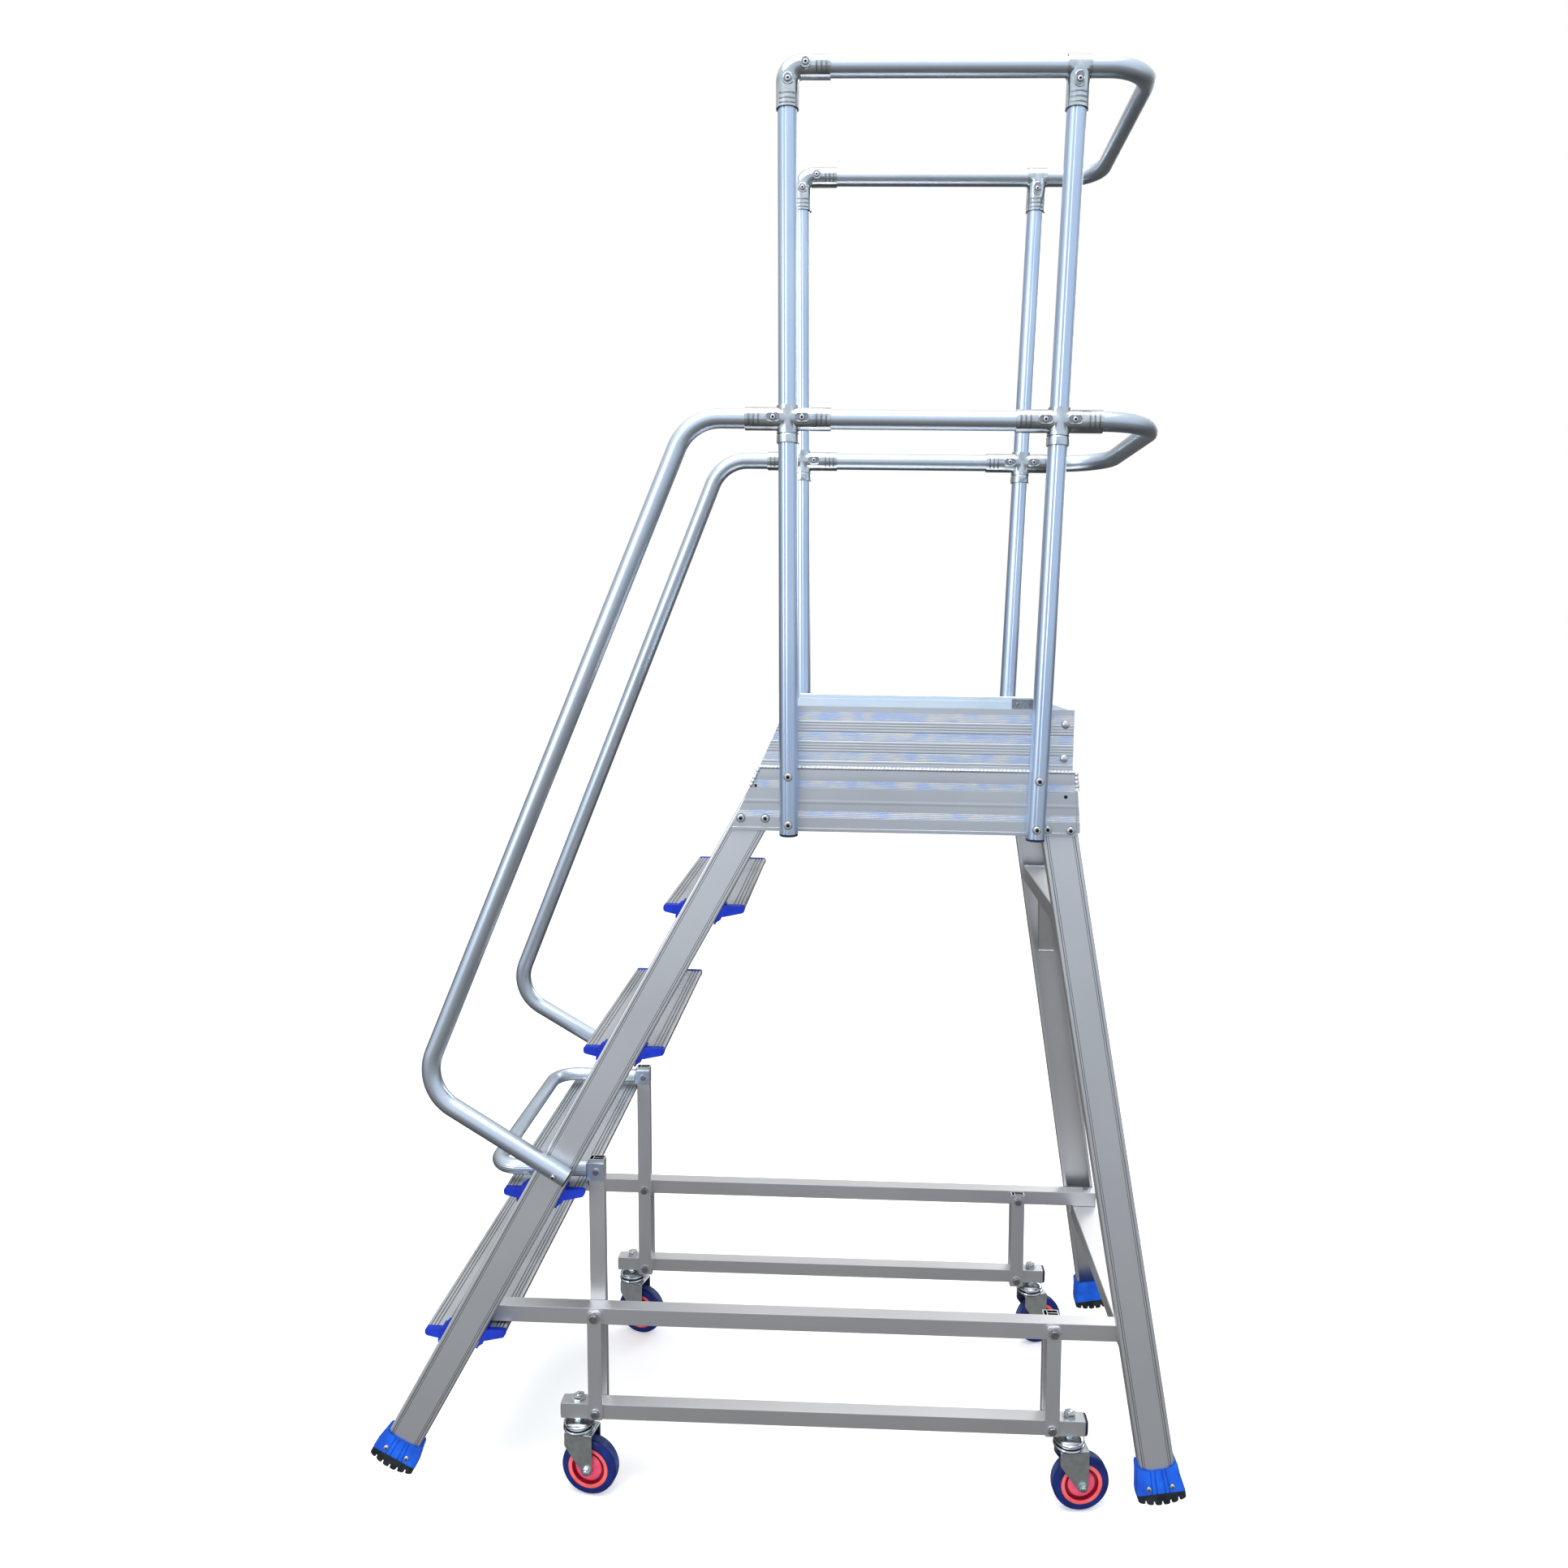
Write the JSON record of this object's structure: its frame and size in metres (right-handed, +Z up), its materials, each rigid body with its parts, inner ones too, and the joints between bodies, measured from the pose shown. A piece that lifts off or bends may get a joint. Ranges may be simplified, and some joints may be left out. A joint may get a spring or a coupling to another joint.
{
  "type": "wheeled platform ladder",
  "caption": "Aluminium platform steps with guard rails, a toe-boarded platform and a foot pedal that lets swivel casters down for moving.",
  "frame": {"origin": "middle of the bounding box at floor level, with the casters let down so that the wheels touch the floor", "axes": "+Z up; +X from the climbing side towards the rear legs; +Y to the left of a climber who faces +X"},
  "size_m": [1.4182, 0.633, 2.4698],
  "materials": {
    "aluminium": "satin anodised, brushed along its length",
    "ribbed_aluminium": "satin anodised, finely ribbed",
    "nickel_plate": "bright nickel plate on pressed steel",
    "zinc_plate": "zinc plated pressed steel",
    "blue_plastic": "moulded, lightly textured",
    "tyre": "cast polyurethane, satin"
  },
  "bodies": {
    "frame": {"front_leg_right": "aluminium", "rear_leg_right": "aluminium", "front_post_right": "aluminium", "rear_post_right": "aluminium", "handrail_right": "aluminium", "mid_rail_right": "aluminium", "side_rail_right": "aluminium", "front_foot_right": "blue_plastic", "rear_foot_right": "blue_plastic", "side_plate_right": "ribbed_aluminium", "toe_board_right": "ribbed_aluminium", "front_cross_joint_right": "nickel_plate", "rear_cross_joint_right": "nickel_plate", "top_elbow_right": "nickel_plate", "top_tee_right": "nickel_plate", "front_leg_left": "aluminium", "rear_leg_left": "aluminium", "front_post_left": "aluminium", "rear_post_left": "aluminium", "handrail_left": "aluminium", "mid_rail_left": "aluminium", "side_rail_left": "aluminium", "front_foot_left": "blue_plastic", "rear_foot_left": "blue_plastic", "side_plate_left": "ribbed_aluminium", "toe_board_left": "ribbed_aluminium", "front_cross_joint_left": "nickel_plate", "rear_cross_joint_left": "nickel_plate", "top_elbow_left": "nickel_plate", "top_tee_left": "nickel_plate", "deck": "ribbed_aluminium", "toe_board_rear": "ribbed_aluminium", "tread_1": "ribbed_aluminium", "tread_2": "ribbed_aluminium", "tread_3": "ribbed_aluminium", "tread_4": "ribbed_aluminium", "rear_upper_cross_tube": "aluminium", "rear_lower_cross_tube": "aluminium", "top_rail": "aluminium", "rear_bow": "aluminium"},
    "lift_lever": {"lift_lever_right": "aluminium", "lift_lever_left": "aluminium", "front_outer_link_right": "aluminium", "front_outer_link_left": "aluminium", "pedal_bar": "aluminium"},
    "caster_beam_right": {"caster_beam_right": "aluminium"},
    "rear_link_right": {"rear_outer_link_right": "aluminium", "rear_inner_link_right": "aluminium"},
    "fork_front_right": {"caster_fork_front_right": "zinc_plate"},
    "wheel_front_right": {"caster_wheel_front_right": "tyre"},
    "fork_rear_right": {"caster_fork_rear_right": "zinc_plate"},
    "wheel_rear_right": {"caster_wheel_rear_right": "tyre"},
    "caster_beam_left": {"caster_beam_left": "aluminium"},
    "rear_link_left": {"rear_outer_link_left": "aluminium", "rear_inner_link_left": "aluminium"},
    "fork_front_left": {"caster_fork_front_left": "zinc_plate"},
    "wheel_front_left": {"caster_wheel_front_left": "tyre"},
    "fork_rear_left": {"caster_fork_rear_left": "zinc_plate"},
    "wheel_rear_left": {"caster_wheel_rear_left": "tyre"}
  },
  "joints": [
    {"name": "lift_lever_pivot", "type": "hinge", "parent": "frame", "child": "lift_lever", "pos_m": [-0.3215, 0, 0.334], "axis": [0, 1, 0], "range_deg": [0, 50]},
    {"name": "caster_beam_pivot_right", "type": "hinge", "parent": "lift_lever", "child": "caster_beam_right", "pos_m": [-0.3196, -0.247, 0.156], "axis": [0, 1, 0], "range_deg": [-50, 0]},
    {"name": "rear_link_pivot_right", "type": "hinge", "parent": "frame", "child": "rear_link_right", "pos_m": [0.484, -0.247, 0.334], "axis": [0, 1, 0], "range_deg": [0, 50]},
    {"name": "swivel_front_right", "type": "hinge", "parent": "caster_beam_right", "child": "fork_front_right", "pos_m": [-0.353, -0.247, 0.125], "axis": [0, 0, 1], "continuous": true},
    {"name": "wheel_spin_front_right", "type": "hinge", "parent": "fork_front_right", "child": "wheel_front_right", "pos_m": [-0.33133, -0.25082, 0.051], "axis": [0.1736, 0.9848, 0], "continuous": true},
    {"name": "swivel_rear_right", "type": "hinge", "parent": "caster_beam_right", "child": "fork_rear_right", "pos_m": [0.519, -0.247, 0.125], "axis": [0, 0, 1], "continuous": true},
    {"name": "wheel_spin_rear_right", "type": "hinge", "parent": "fork_rear_right", "child": "wheel_rear_right", "pos_m": [0.54084, -0.24432, 0.051], "axis": [-0.1219, 0.9925, 0], "continuous": true},
    {"name": "caster_beam_pivot_left", "type": "hinge", "parent": "lift_lever", "child": "caster_beam_left", "pos_m": [-0.3196, 0.247, 0.156], "axis": [0, 1, 0], "range_deg": [-50, 0]},
    {"name": "rear_link_pivot_left", "type": "hinge", "parent": "frame", "child": "rear_link_left", "pos_m": [0.484, 0.247, 0.334], "axis": [0, 1, 0], "range_deg": [0, 50]},
    {"name": "swivel_front_left", "type": "hinge", "parent": "caster_beam_left", "child": "fork_front_left", "pos_m": [-0.353, 0.247, 0.125], "axis": [0, 0, 1], "continuous": true},
    {"name": "wheel_spin_front_left", "type": "hinge", "parent": "fork_front_left", "child": "wheel_front_left", "pos_m": [-0.33185, 0.24094, 0.051], "axis": [0.2756, 0.9613, 0], "continuous": true},
    {"name": "swivel_rear_left", "type": "hinge", "parent": "caster_beam_left", "child": "fork_rear_left", "pos_m": [0.519, 0.247, 0.125], "axis": [0, 0, 1], "continuous": true},
    {"name": "wheel_spin_rear_left", "type": "hinge", "parent": "fork_rear_left", "child": "wheel_rear_left", "pos_m": [0.53967, 0.25452, 0.051], "axis": [-0.342, 0.9397, 0], "continuous": true}
  ],
  "couplings": [
    {"joint": "caster_beam_pivot_right", "follows": "lift_lever_pivot", "ratio": -1},
    {"joint": "rear_link_pivot_right", "follows": "lift_lever_pivot", "ratio": 1},
    {"joint": "caster_beam_pivot_left", "follows": "lift_lever_pivot", "ratio": -1},
    {"joint": "rear_link_pivot_left", "follows": "lift_lever_pivot", "ratio": 1}
  ]
}
